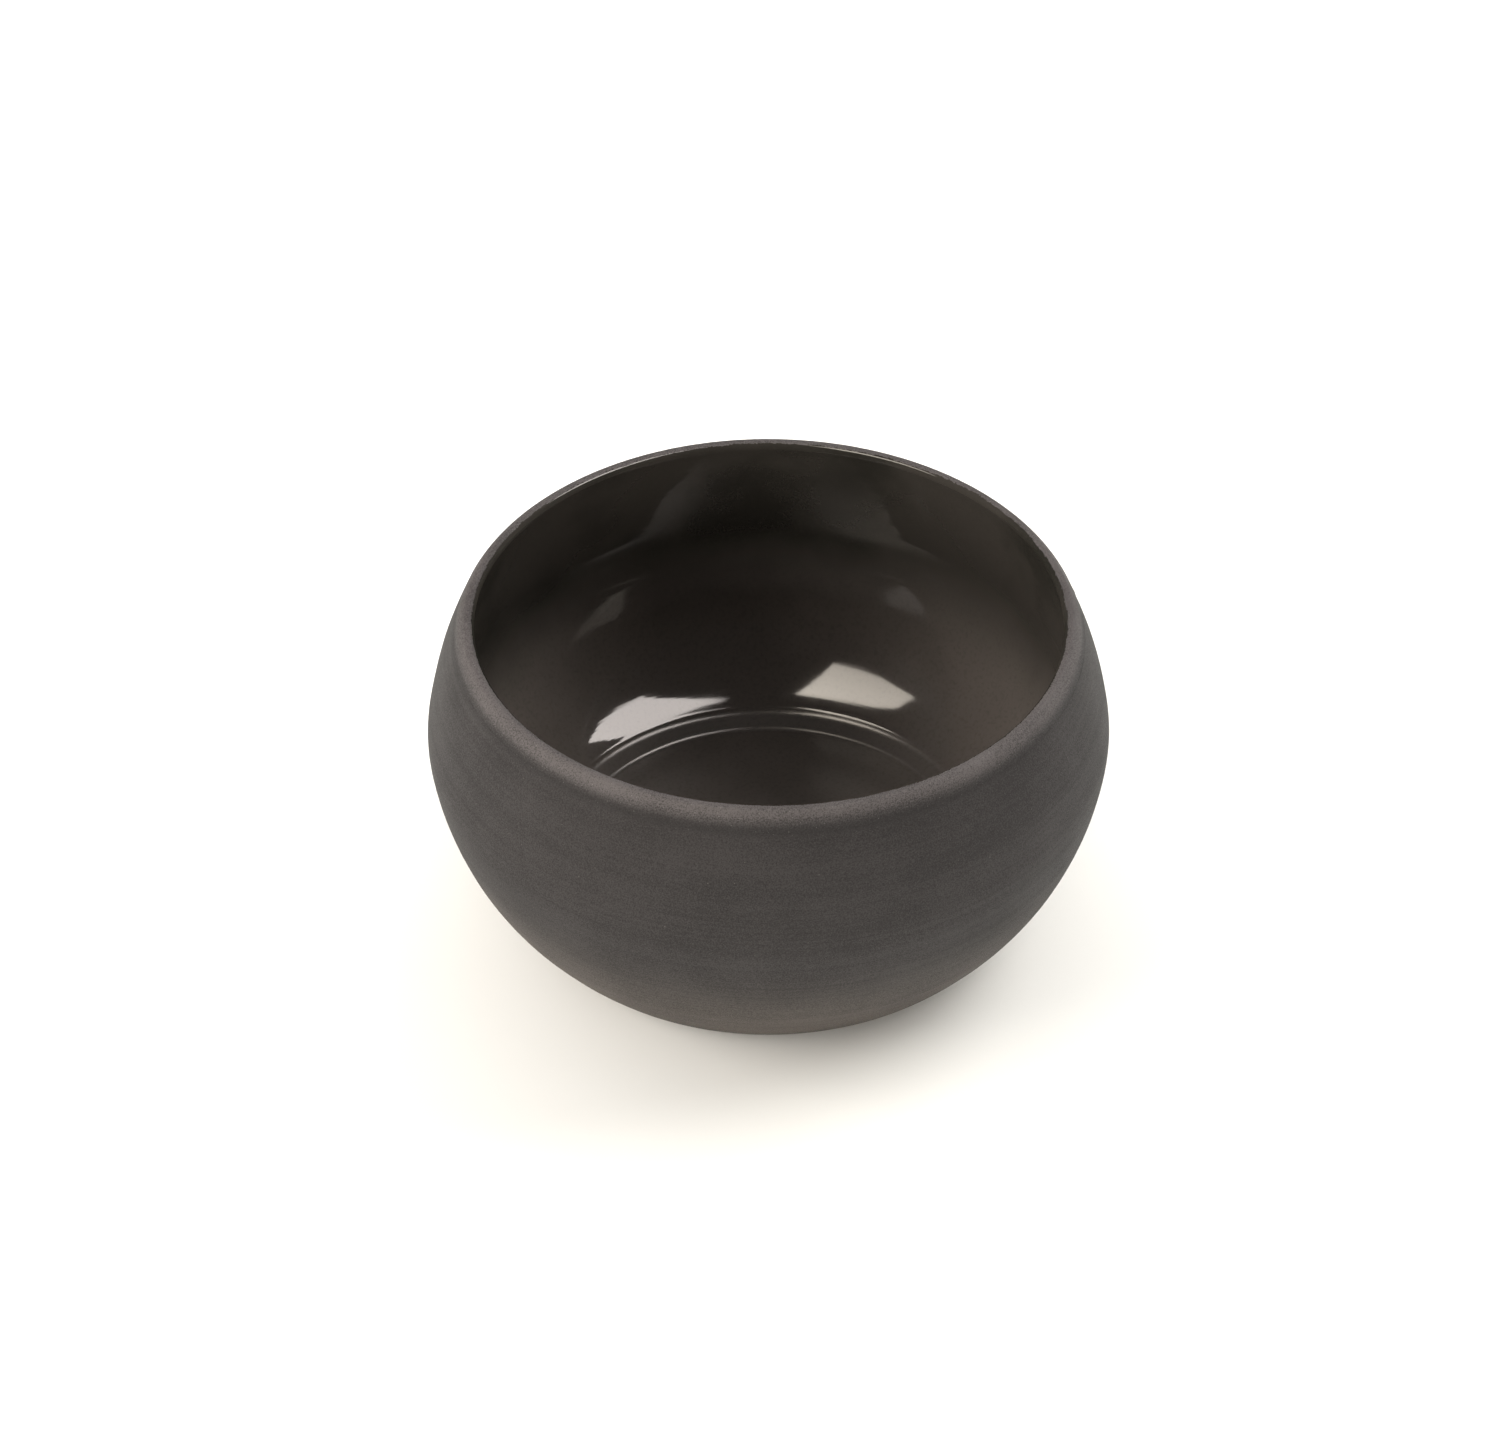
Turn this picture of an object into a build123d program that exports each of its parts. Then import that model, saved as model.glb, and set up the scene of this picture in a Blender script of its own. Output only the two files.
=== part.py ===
from build123d import *
from math import cos, radians, sin
import os

# A small round-bellied clay pot: low, wide and open, matt outside and glazed inside.
# The origin is the centre of the foot, on the surface that the pot stands on, with +Z up.
# Lengths are in millimetres. Angles are in degrees and give the direction in which the
# outline runs, from 0 (straight out, along +X) through 90 (straight up) to 180.

# ---- Driving dimensions ----------------------------------------------------------------
BELLY_DIAMETER = 120.0      # the widest place, a little above half height

# The outside, from the foot's edge up to the seam of the lip: tangent arcs, each given by
# its radius and the direction in which it ends.
OUTSIDE_BENDS = [
    (8.8, 46.8),            # heel, out from under the pot
    (52.0, 82.9),           # lower belly
    (24.0, 99.2),           # round of the belly
    (72.9, 113.3),          # shoulder, leaning in
]

# The lip, from its seam over the crest to the edge where the glaze starts inside.
LIP_CREST_RADIUS = 1.16
LIP_BENDS = [
    (72.9, 114.7),          # last of the shoulder
    (4.4, 139.5),           # outside of the lip
    (LIP_CREST_RADIUS, 249.0),
]

# The glazed inside, from the lip down to the floor. A negative radius bends the other way.
INSIDE_BENDS = [
    (LIP_CREST_RADIUS, 289.0),
    (-117.5, 279.0),        # under the lip, flaring out
    (-20.0, 263.0),         # behind the round of the belly
    (-38.2, 216.0),         # lower wall, sweeping in
    (2.2, 234.0),           # soft edge of the floor's step
    (-2.6, 204.0),          # foot of the step
    (-40.0, 201.0),         # gentle shelf round the floor
    (1.2, 222.0),           # its soft inner edge
    (-1.2, 180.0),          # running out onto the floor
]
GLAZE_THICKNESS = 0.4

# The foot: a flat ring round a shallow hollow.
FOOT_RING_WIDTH = 5.2
HOLLOW_DEPTH = 0.6
HOLLOW_BEVEL = 0.6

# How far cutting regions reach past the pot.
MARGIN = 20.0


# ---- Outline helpers -------------------------------------------------------------------
def run_of(radius, start, end):
    """Horizontal and vertical run of an arc that turns from direction start to end."""
    a, b = radians(start), radians(end)
    return Vector(radius * (sin(b) - sin(a)), 0, radius * (cos(a) - cos(b)))


def normal_at(angle):
    """Unit vector into the clay, to the left of an outline that runs in direction angle."""
    return Vector(-sin(radians(angle)), 0, cos(radians(angle)))


def tangent_arcs(start, angle, bends):
    """Edges of a chain of tangent arcs from start, and the point where the chain ends."""
    edges = []
    for radius, end_angle in bends:
        middle = start + run_of(radius, angle, (angle + end_angle) / 2)
        end = start + run_of(radius, angle, end_angle)
        edges.append(ThreePointArc(start, middle, end))
        start, angle = end, end_angle
    return edges, start


def set_in(start, angle, bends, depth):
    """The same chain moved into the clay by depth: its start, and its concentric bends."""
    return start + depth * normal_at(angle), [(radius - depth, end) for radius, end in bends]


def region(*corners):
    """Flat region of the X-Z plane with the given corners."""
    return make_face(Polyline(*[(x, 0, z) for x, z in corners], close=True))


def turned(profile):
    """Solid that a profile in the X-Z plane sweeps in a full turn about the Z axis."""
    return revolve(profile, Axis.Z, 360)


# ---- Key points of the outline ---------------------------------------------------------
belly_bends = [OUTSIDE_BENDS[0], OUTSIDE_BENDS[1], (OUTSIDE_BENDS[2][0], 90.0)]
foot_radius = BELLY_DIAMETER / 2 - tangent_arcs(Vector(0, 0, 0), 0, belly_bends)[1].X
foot_edge = Vector(foot_radius, 0, 0)

outside_edges, seam_point = tangent_arcs(foot_edge, 0, OUTSIDE_BENDS)
seam_angle = OUTSIDE_BENDS[-1][1]
lip_edges, glaze_edge = tangent_arcs(seam_point, seam_angle, LIP_BENDS)
crest = glaze_edge - run_of(LIP_CREST_RADIUS, 180, LIP_BENDS[-1][1])

glaze_angle = LIP_BENDS[-1][1]
glaze_edges, floor_edge = tangent_arcs(glaze_edge, glaze_angle, INSIDE_BENDS)
floor_centre = Vector(0, 0, floor_edge.Z)

clay_start, clay_bends = set_in(glaze_edge, glaze_angle, INSIDE_BENDS, GLAZE_THICKNESS)
clay_edges, clay_floor_edge = tangent_arcs(clay_start, glaze_angle, clay_bends)
clay_floor_centre = Vector(0, 0, clay_floor_edge.Z)


# ---- Clay body -------------------------------------------------------------------------
def clay_section():
    """Half section of the whole clay body, from the axis to the outside."""
    rebate = Line(glaze_edge, clay_start)
    floor = Line(clay_floor_edge, clay_floor_centre)
    axis = Line(clay_floor_centre, Vector(0, 0, 0))
    underside = Line(Vector(0, 0, 0), foot_edge)
    return make_face(outside_edges + lip_edges + [rebate] + clay_edges + [floor, axis, underside])


def foot_hollow():
    """Half section of the shallow hollow inside the foot ring."""
    rim = foot_radius - FOOT_RING_WIDTH
    return region((0, 0), (rim, 0), (rim - HOLLOW_BEVEL, HOLLOW_DEPTH), (0, HOLLOW_DEPTH))


def slab_region():
    """Everything above the foot, as far out as its edge: the slab that the wall stands round."""
    return region((0, -MARGIN), (foot_radius, -MARGIN), (foot_radius, MARGIN), (0, MARGIN))


def lip_region():
    """Everything above the lip's seam, which runs square into the wall."""
    inner = seam_point + MARGIN * normal_at(seam_angle)
    outer = seam_point - MARGIN * normal_at(seam_angle)
    high = seam_point.Z + MARGIN
    return region((inner.X, inner.Z), (outer.X, outer.Z), (outer.X, high), (inner.X, high))


def base_slab():
    """Flat disc that the pot stands on, with the foot ring below and the step above."""
    return turned((clay_section() & slab_region()) - foot_hollow())


def clay_wall():
    """Round-bellied wall, from the slab's edge up to the lip."""
    return turned(clay_section() - slab_region() - lip_region())


def lip_roll():
    """Rolled lip on top of the wall, round outside and close inside."""
    return turned(clay_section() & lip_region())


# ---- Glaze -----------------------------------------------------------------------------
def inner_glaze():
    """Glaze over the whole inside, from the floor up to a thin edge on the lip."""
    floor = Line(floor_edge, floor_centre)
    axis = Line(floor_centre, clay_floor_centre)
    back = Line(clay_floor_centre, clay_floor_edge)
    end = Line(clay_start, glaze_edge)
    return turned(make_face(glaze_edges + [floor, axis, back] + clay_edges + [end]))


NODES = {
    "base_slab": base_slab,
    "clay_wall": clay_wall,
    "lip_roll": lip_roll,
    "inner_glaze": inner_glaze,
}

os.makedirs("parts", exist_ok=True)
for name, make in NODES.items():
    piece = make()
    piece.label = name
    export_step(piece, f"parts/{name}.step")

print(f"foot radius {foot_radius:.2f}, lip seam {seam_point.X:.2f} at {seam_point.Z:.2f}, "
      f"glaze edge {glaze_edge.X:.2f} at {glaze_edge.Z:.2f}, "
      f"floor {floor_edge.X:.2f} at {floor_edge.Z:.2f}, height {crest.Z:.2f}")
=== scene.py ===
"""Dresses a small round-bellied clay pot: matt clay outside, glossy glaze inside.

Everything is in metres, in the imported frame: the origin is the centre of the foot, +Z is up.
"""

import logging
import math
from dataclasses import dataclass
from enum import Enum

import bmesh
import bpy
from mathutils import Matrix, Vector, noise


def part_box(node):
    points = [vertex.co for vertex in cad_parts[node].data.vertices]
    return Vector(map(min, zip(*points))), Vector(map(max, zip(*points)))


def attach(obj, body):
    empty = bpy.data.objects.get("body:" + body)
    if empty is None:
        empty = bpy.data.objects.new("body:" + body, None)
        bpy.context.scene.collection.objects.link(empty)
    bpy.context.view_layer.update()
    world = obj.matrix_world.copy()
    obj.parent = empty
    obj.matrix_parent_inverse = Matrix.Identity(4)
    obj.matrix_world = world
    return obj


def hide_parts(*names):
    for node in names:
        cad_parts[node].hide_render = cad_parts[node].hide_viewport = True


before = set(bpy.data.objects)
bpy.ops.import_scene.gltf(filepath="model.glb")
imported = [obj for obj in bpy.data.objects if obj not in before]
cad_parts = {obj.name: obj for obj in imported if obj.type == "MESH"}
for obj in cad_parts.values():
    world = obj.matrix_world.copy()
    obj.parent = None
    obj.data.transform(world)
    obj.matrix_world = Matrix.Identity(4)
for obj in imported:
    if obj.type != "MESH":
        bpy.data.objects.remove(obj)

LOG = logging.getLogger("clay_pot")
MM = 0.001
FULL_TURN = 2.0 * math.pi
SEGMENTS = 288
MERGE_GAP = 1e-7
SHARP_CORNER = math.radians(50.0)


class Skin(Enum):
    """Which kind of surface a stretch of outline becomes."""

    HIDDEN = 0.0
    CLAY = 1.0
    GLAZE = 2.0


@dataclass(frozen=True)
class Bend:
    """One tangent arc of an outline: its radius in metres and its end heading in degrees.

    A negative radius bends to the right. Heading 0 points away from the axis, 90 up.
    """

    radius: float
    end: float


def bends(*pairs: tuple[float, float]) -> tuple[Bend, ...]:
    """Bends from pairs of a radius in millimetres and an end heading in degrees."""
    return tuple(Bend(radius * MM, end) for radius, end in pairs)


def left_of(heading: float) -> Vector:
    """Unit vector to the left of a heading in degrees, which points into the clay."""
    return Vector((-math.sin(math.radians(heading)), 0.0, math.cos(math.radians(heading))))


def end_of(start: Vector, heading: float, chain: tuple[Bend, ...]) -> Vector:
    """Where a chain of tangent arcs ends.

    Args:
        start: first point of the chain, in the X-Z plane.
        heading: heading at the start, in degrees.
        chain: the arcs, in order.

    Returns:
        The last point of the chain.
    """
    point = start.copy()
    for bend in chain:
        point += bend.radius * (left_of(heading) - left_of(bend.end))
        heading = bend.end
    return point


@dataclass(frozen=True)
class PotForm:
    """The pot's turned form: outline arcs, tied to the places that the frame gives.

    Attributes:
        foot: edge of the flat foot, where the outside starts.
        outside: arcs from the foot up to the lip's seam.
        lip: arcs from the seam over the crest to the edge of the glaze.
        inside: arcs from there down the glazed wall and over the floor's step.
        glaze: thickness of the glaze.
        lip_root: heading of the clay behind the glaze where the lip meets the wall.
        wall_root: heading of the clay behind the glaze where the wall meets the slab.
        slab_rise: how far the slab's edge stands above its floor.
        tolerance: how far the crest may lie from the frame's.
    """

    foot: Vector
    outside: tuple[Bend, ...] = bends((8.8, 46.8), (52.0, 82.9), (24.0, 99.2), (72.9, 113.3))
    lip: tuple[Bend, ...] = bends((72.9, 114.7), (4.4, 139.5), (1.16, 249.0))
    inside: tuple[Bend, ...] = bends(
        (1.16, 289.0), (-117.5, 279.0), (-20.0, 263.0), (-38.2, 216.0),
        (2.2, 234.0), (-2.6, 204.0), (-40.0, 201.0), (1.2, 222.0), (-1.2, 180.0),
    )
    glaze: float = 0.4 * MM
    lip_root: float = 287.0
    wall_root: float = 225.0
    slab_rise: float = 1.0 * MM
    tolerance: float = 0.3 * MM

    @classmethod
    def from_frame(cls) -> "PotForm":
        """The form that stands on the frame's foot, checked against the frame's lip.

        Returns:
            The pot's form.

        Raises:
            ValueError: if the outline misses the top of the frame's lip.
        """
        form = cls(foot=Vector((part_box("base_slab")[1].x, 0.0, 0.0)))
        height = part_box("lip_roll")[1].z
        if abs(form.crest.z - height) > form.tolerance:
            raise ValueError(f"the outline's crest is at {form.crest.z:.4f}, the frame's at {height:.4f}")
        return form

    @property
    def seam(self) -> Vector:
        """Where the lip starts on the outside."""
        return end_of(self.foot, 0.0, self.outside)

    @property
    def seam_heading(self) -> float:
        """Heading of the outside at the lip's seam."""
        return self.outside[-1].end

    @property
    def glaze_edge(self) -> Vector:
        """Where the clay of the lip gives way to the glaze."""
        return end_of(self.seam, self.seam_heading, self.lip)

    @property
    def glaze_heading(self) -> float:
        """Heading of the lip's round at the glaze's edge."""
        return self.lip[-1].end

    @property
    def lip_centre(self) -> Vector:
        """Centre of the lip's round, in the X-Z plane."""
        return self.glaze_edge + self.lip[-1].radius * left_of(self.glaze_heading)

    @property
    def crest(self) -> Vector:
        """Highest point of the lip."""
        return self.lip_centre + Vector((0.0, 0.0, self.lip[-1].radius))

    @property
    def belly(self) -> Vector:
        """Widest point of the outside."""
        return end_of(self.foot, 0.0, self.outside[:2] + (Bend(self.outside[2].radius, 90.0),))

    @property
    def backing_start(self) -> Vector:
        """Edge of the clay behind the glaze, on the lip."""
        return self.glaze_edge + self.glaze * left_of(self.glaze_heading)

    @property
    def backing(self) -> tuple[Bend, ...]:
        """The inside's arcs, moved into the clay by the thickness of the glaze."""
        return tuple(Bend(bend.radius - self.glaze, bend.end) for bend in self.inside)

    @property
    def slab_corner(self) -> Vector:
        """Upper edge of the base slab, hidden where the wall is raised on it."""
        return Vector((self.foot.x, 0.0, self.floor_edge.z - self.glaze + self.slab_rise))

    @property
    def outside_length(self) -> float:
        """Length of the outline from the foot up to the lip's seam."""
        headings = [0.0] + [bend.end for bend in self.outside]
        return sum(bend.radius * math.radians(bend.end - start)
                   for start, bend in zip(headings, self.outside))

    @property
    def floor_edge(self) -> Vector:
        """Where the flat floor starts, inside the step."""
        return end_of(self.glaze_edge, self.glaze_heading, self.inside)


class Outline:
    """A half section in the X-Z plane, grown vertex by vertex and then spun.

    Every vertex keeps its skin, how far along the outline it lies and its heading, so that
    hand work can be laid on the spun surface afterwards.
    """

    def __init__(self, start: Vector, heading: float, along: float = 0.0) -> None:
        """Starts an outline.

        Args:
            start: first point, in the X-Z plane.
            heading: heading there, in degrees.
            along: length of outline that other pieces hold before this point.
        """
        self.bm = bmesh.new()
        layers = self.bm.verts.layers.float
        self.skin_of = layers.new("skin")
        self.along_of = layers.new("along")
        self.heading_of = layers.new("heading")
        self.skin = Skin.HIDDEN
        self.heading = heading
        self.along = along
        self.tip = self.bm.verts.new(start)
        self._note(self.tip, heading, along)

    def _note(self, vert: bmesh.types.BMVert, heading: float, along: float) -> None:
        """Writes on a vertex what the hand work needs.

        Args:
            vert: the vertex.
            heading: heading of the outline there, in degrees.
            along: its place along the outline, in metres.
        """
        vert[self.skin_of] = self.skin.value
        vert[self.heading_of] = heading
        vert[self.along_of] = along

    def wear(self, skin: Skin) -> "Outline":
        """Gives the tip, and all that grows from it, a skin.

        Args:
            skin: the skin.

        Returns:
            The outline.
        """
        self.skin = skin
        self.tip[self.skin_of] = skin.value
        return self

    def bend(self, bend: Bend, step: float) -> "Outline":
        """Grows a tangent arc from the tip.

        Args:
            bend: the arc.
            step: longest stretch between two vertices, in metres.

        Returns:
            The outline.
        """
        turn = math.radians(bend.end - self.heading)
        length = abs(bend.radius * turn)
        count = max(2, math.ceil(length / step))
        centre = self.tip.co + bend.radius * left_of(self.heading)
        known = set(self.bm.verts)
        bmesh.ops.spin(
            self.bm, geom=[self.tip], cent=centre, axis=(0.0, -1.0, 0.0), angle=turn, steps=count,
            use_duplicate=False,
        )
        first = left_of(self.heading)
        side = math.copysign(1.0, bend.radius)
        grown = [v for v in self.bm.verts if v not in known]
        grown.sort(key=lambda v: first.angle(side * (centre - v.co)))
        for place, vert in enumerate(grown, start=1):
            share = place / count
            self._note(vert, self.heading + share * (bend.end - self.heading),
                       self.along + share * length)
        self.tip, self.heading, self.along = grown[-1], bend.end, self.along + length
        return self

    def chain(self, arcs: tuple[Bend, ...], step: float) -> "Outline":
        """Grows several tangent arcs, one after the other."""
        for arc in arcs:
            self.bend(arc, step)
        return self

    def line(self, end: Vector, step: float = 1.0) -> "Outline":
        """Grows a straight stretch from the tip, at the heading that it runs in.

        Args:
            end: where the stretch ends.
            step: longest stretch between two vertices, in metres.

        Returns:
            The outline.
        """
        run = end - self.tip.co
        count = max(1, math.ceil(run.length / step))
        self.heading = math.degrees(math.atan2(run.z, run.x)) % 360.0
        for _ in range(count):
            grown = bmesh.ops.extrude_vert_indiv(self.bm, verts=[self.tip])["verts"]
            bmesh.ops.translate(self.bm, verts=grown, vec=run / count)
            self.tip = grown[0]
            self.along += run.length / count
            self._note(self.tip, self.heading, self.along)
        return self

    def spun(self, segments: int = SEGMENTS) -> bmesh.types.BMesh:
        """Spins the outline a full turn about Z and closes its seams and poles.

        Args:
            segments: number of stretches round the turn.

        Returns:
            A closed bmesh with its faces pointing outwards.
        """
        bmesh.ops.spin(
            self.bm, geom=self.bm.verts[:] + self.bm.edges[:], cent=(0.0, 0.0, 0.0),
            axis=(0.0, 0.0, 1.0), angle=FULL_TURN, steps=segments, use_merge=True,
            use_duplicate=False,
        )
        bmesh.ops.remove_doubles(self.bm, verts=self.bm.verts[:], dist=MERGE_GAP)
        bmesh.ops.recalc_face_normals(self.bm, faces=self.bm.faces[:])
        return self.bm


@dataclass(frozen=True)
class Comb:
    """A family of turning lines laid on a surface.

    Attributes:
        spacing: distance between lines, in metres.
        depth: how far the lines rise and fall, in metres.
        drift: how much the lines change on their way round the pot.
        seed: picks one pattern among many.
    """

    spacing: float
    depth: float
    drift: float
    seed: float

    def height(self, along: float, angle: float) -> float:
        """Height of the lines at a place along the outline and round the pot."""
        place = Vector((math.cos(angle) * self.drift, math.sin(angle) * self.drift,
                        along / self.spacing + self.seed))
        return self.depth * noise.noise(place)


@dataclass(frozen=True)
class Sway:
    """One slow wave round the pot: its lobes, size in metres and turn in degrees."""

    lobes: int
    size: float
    turn: float

    def at(self, angle: float) -> float:
        """Size of the wave at an angle round the pot."""
        return self.size * math.cos(self.lobes * angle + math.radians(self.turn))


@dataclass(frozen=True)
class HandWork:
    """What the potter's hands leave: a body not quite round, a lip not quite level, lines.

    Attributes:
        height: height of the pot, where the lip's waves are at their full size.
        out_of_round: slow waves of the radius, at their full size at the belly.
        out_of_level: slow waves of the lip's height.
        clay_lines: combs on the bare clay.
        glaze_lines: combs that still show under the glaze.
    """

    height: float
    out_of_round: tuple[Sway, ...] = (
        Sway(1, 0.12 * MM, 15.0), Sway(2, 0.08 * MM, 10.0), Sway(3, 0.03 * MM, 140.0),
    )
    out_of_level: tuple[Sway, ...] = (Sway(1, 0.05 * MM, 200.0), Sway(3, 0.04 * MM, 75.0))
    clay_lines: tuple[Comb, ...] = (
        Comb(9.0 * MM, 0.10 * MM, 0.35, 3.1), Comb(2.6 * MM, 0.022 * MM, 0.6, 17.7),
        Comb(0.9 * MM, 0.010 * MM, 1.1, 41.3),
    )
    glaze_lines: tuple[Comb, ...] = (
        Comb(11.0 * MM, 0.05 * MM, 0.8, 71.9), Comb(4.0 * MM, 0.010 * MM, 1.6, 90.2),
    )

    def lift(self, skin: float, along: float, angle: float) -> float:
        """How far a point of a skin is raised by its lines."""
        combs = {Skin.CLAY.value: self.clay_lines, Skin.GLAZE.value: self.glaze_lines}.get(skin, ())
        return sum(comb.height(along, angle) for comb in combs)

    def lay_on(self, outline: Outline) -> None:
        """Moves the spun vertices of an outline as the potter's hands would.

        Args:
            outline: an outline after its spin.
        """
        for vert in outline.bm.verts:
            radius = math.hypot(vert.co.x, vert.co.y)
            if radius < MERGE_GAP:
                continue
            angle = math.atan2(vert.co.y, vert.co.x)
            rise = vert.co.z / self.height
            lift = self.lift(vert[outline.skin_of], vert[outline.along_of], angle)
            out = -left_of(vert[outline.heading_of])
            sway = rise * sum(wave.at(angle) for wave in self.out_of_round)
            grown = 1.0 + (sway + lift * out.x) / radius
            vert.co.x *= grown
            vert.co.y *= grown
            vert.co.z += lift * out.z + rise ** 4 * sum(wave.at(angle) for wave in self.out_of_level)


def finished_piece(name: str, bm: bmesh.types.BMesh, material: bpy.types.Material,
                   node: str) -> bpy.types.Object:
    """Turns a bmesh into a piece that stands for a node of the frame.

    Args:
        name: the piece's name.
        bm: its mesh, which is freed.
        material: its finish.
        node: the node that it replaces.

    Returns:
        The piece's object.
    """
    for face in bm.faces:
        face.smooth = True
    for edge in bm.edges:
        edge.smooth = not edge.is_manifold or edge.calc_face_angle() < SHARP_CORNER
    mesh = bpy.data.meshes.new(name)
    bm.to_mesh(mesh)
    bm.free()
    mesh.materials.append(material)
    piece = bpy.data.objects.new(name, mesh)
    bpy.context.scene.collection.objects.link(piece)
    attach(piece, "root")
    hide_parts(node)
    LOG.info("%s: %d faces in place of %s", name, len(mesh.polygons), node)
    return piece


# ---- Node helpers ----------------------------------------------------------------------
class NodeGraph:
    """A node tree, with short ways to add and join its nodes."""

    def __init__(self, tree: bpy.types.NodeTree) -> None:
        """Wraps a node tree."""
        self.tree = tree

    def add(self, kind: str, values: dict | None = None, **settings: object) -> bpy.types.Node:
        """Adds a node.

        Args:
            kind: the node's type.
            values: input sockets, by name or number, and what each is set to or fed by.
            settings: properties of the node.

        Returns:
            The node.
        """
        node = self.tree.nodes.new(kind)
        for name, value in settings.items():
            setattr(node, name, value)
        for name, value in (values or {}).items():
            if isinstance(value, bpy.types.NodeSocket):
                self.tree.links.new(value, node.inputs[name])
            else:
                node.inputs[name].default_value = value
        return node

    def math(self, operation: str, *values: object, clamp: bool = False) -> bpy.types.NodeSocket:
        """Output of a Math node fed by numbers or sockets."""
        node = self.add("ShaderNodeMath", dict(enumerate(values)), operation=operation, use_clamp=clamp)
        return node.outputs[0]

    def weighted(self, *terms: tuple[bpy.types.NodeSocket, float]) -> bpy.types.NodeSocket:
        """Sum of sockets, each times its weight.

        Args:
            terms: pairs of a socket and its weight.

        Returns:
            The sum's socket.
        """
        total = self.math("MULTIPLY", *terms[0])
        for socket, weight in terms[1:]:
            total = self.math("ADD", total, self.math("MULTIPLY", socket, weight))
        return total

    def ramp(self, value: bpy.types.NodeSocket, low: float, high: float) -> bpy.types.NodeSocket:
        """Smooth step of a value from 0 at low to 1 at high, or back where high is the less."""
        node = self.add("ShaderNodeMapRange", {"Value": value, "From Min": low, "From Max": high},
                        interpolation_type="SMOOTHSTEP")
        return node.outputs["Result"]

    def blend(self, share: object, first: object, second: object) -> bpy.types.NodeSocket:
        """Mix of two colours."""
        node = self.add("ShaderNodeMix", {0: share, 6: first, 7: second}, data_type="RGBA")
        return node.outputs[2]

    def between(self, share: object, first: object, second: object) -> bpy.types.NodeSocket:
        """Mix of two values."""
        node = self.add("ShaderNodeMix", {0: share, 2: first, 3: second}, data_type="FLOAT")
        return node.outputs[0]


class EffectGroup(NodeGraph):
    """A shader node group with named inputs and outputs, built once and placed at will."""

    KINDS = {float: "NodeSocketFloat", tuple: "NodeSocketColor", Vector: "NodeSocketVector"}

    def __init__(self, name: str, inputs: dict[str, object], outputs: dict[str, type]) -> None:
        """Makes an empty group.

        Args:
            name: the group's name.
            inputs: names of the inputs, and what each starts at.
            outputs: names of the outputs, and the kind of each.
        """
        super().__init__(bpy.data.node_groups.new(name, "ShaderNodeTree"))
        face = self.tree.interface
        for label, start in inputs.items():
            socket = face.new_socket(name=label, in_out="INPUT", socket_type=self.KINDS[type(start)])
            if type(start) is not Vector:
                socket.default_value = start
        for label, kind in outputs.items():
            face.new_socket(name=label, in_out="OUTPUT", socket_type=self.KINDS[kind])
        self.given = self.add("NodeGroupInput").outputs
        self.result = self.add("NodeGroupOutput")

    def give(self, label: str, socket: bpy.types.NodeSocket) -> None:
        """Feeds one of the group's outputs."""
        self.tree.links.new(socket, self.result.inputs[label])

    def place(self, graph: NodeGraph, values: dict[str, object]) -> bpy.types.Node:
        """Places the group in another tree, with its inputs set or fed."""
        return graph.add("ShaderNodeGroup", values, node_tree=self.tree)


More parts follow.
